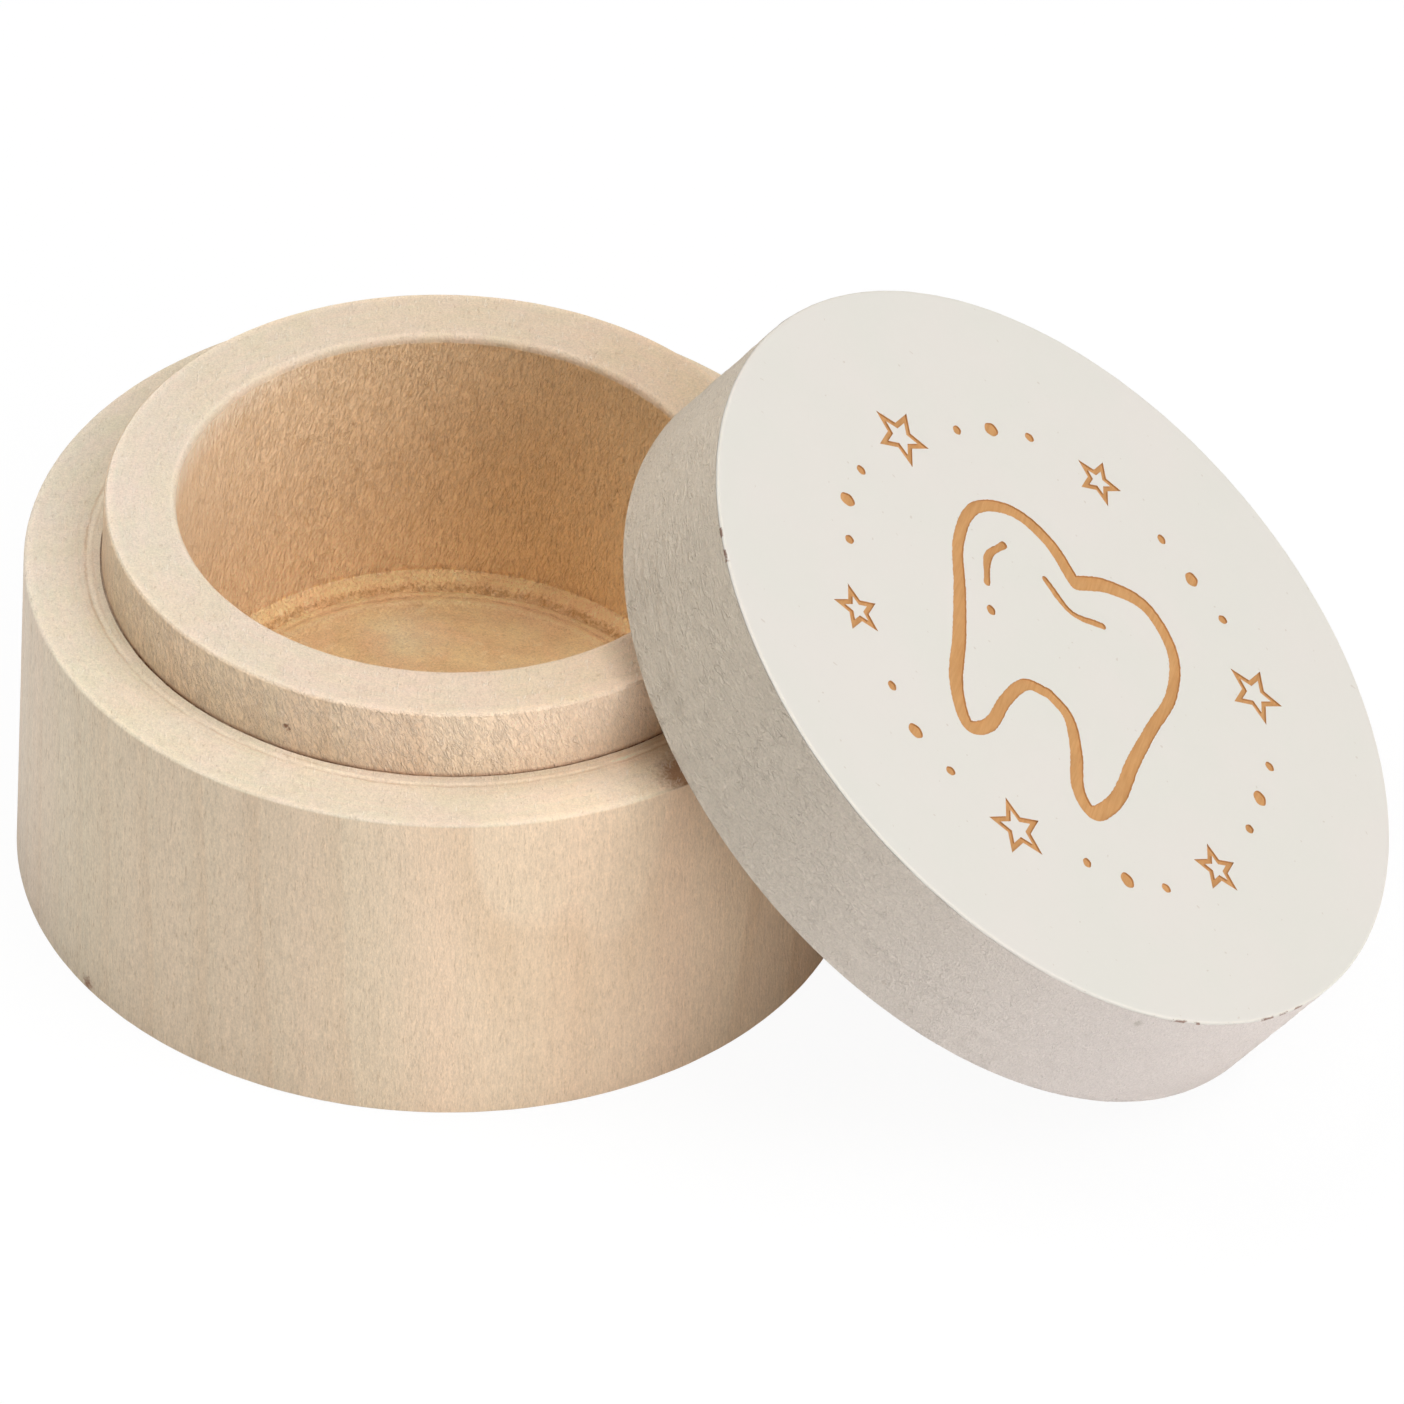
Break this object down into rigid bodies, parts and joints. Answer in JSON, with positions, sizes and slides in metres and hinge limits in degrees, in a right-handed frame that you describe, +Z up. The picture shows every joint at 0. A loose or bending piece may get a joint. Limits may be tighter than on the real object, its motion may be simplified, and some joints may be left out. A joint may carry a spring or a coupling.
{
  "type": "baby tooth box",
  "caption": "Small turned wooden keepsake box: a round cup with a spigot, and its painted lid with a recess, set off and leaning on the cup.",
  "frame": {"origin": "centre of the cup's underside, on the surface it stands on", "axes": "+Z up along the cup's turning axis; +X from the cup towards the lid's low edge, the way the lid leans; the X-Z plane cuts both pieces into mirror halves"},
  "size_m": [0.0815, 0.05, 0.0371],
  "materials": {
    "bare_wood": "matte, unsealed turned wood",
    "painted_wood": "matte cream paint over turned wood"
  },
  "bodies": {
    "cup": {"cup": "bare_wood"},
    "lid": {"lid": "painted_wood"}
  },
  "joints": [
    {"name": "lid_lift", "type": "slide", "parent": "cup", "child": "lid", "axis": [0, 0, 1], "range_m": [0, 0.04]}
  ]
}
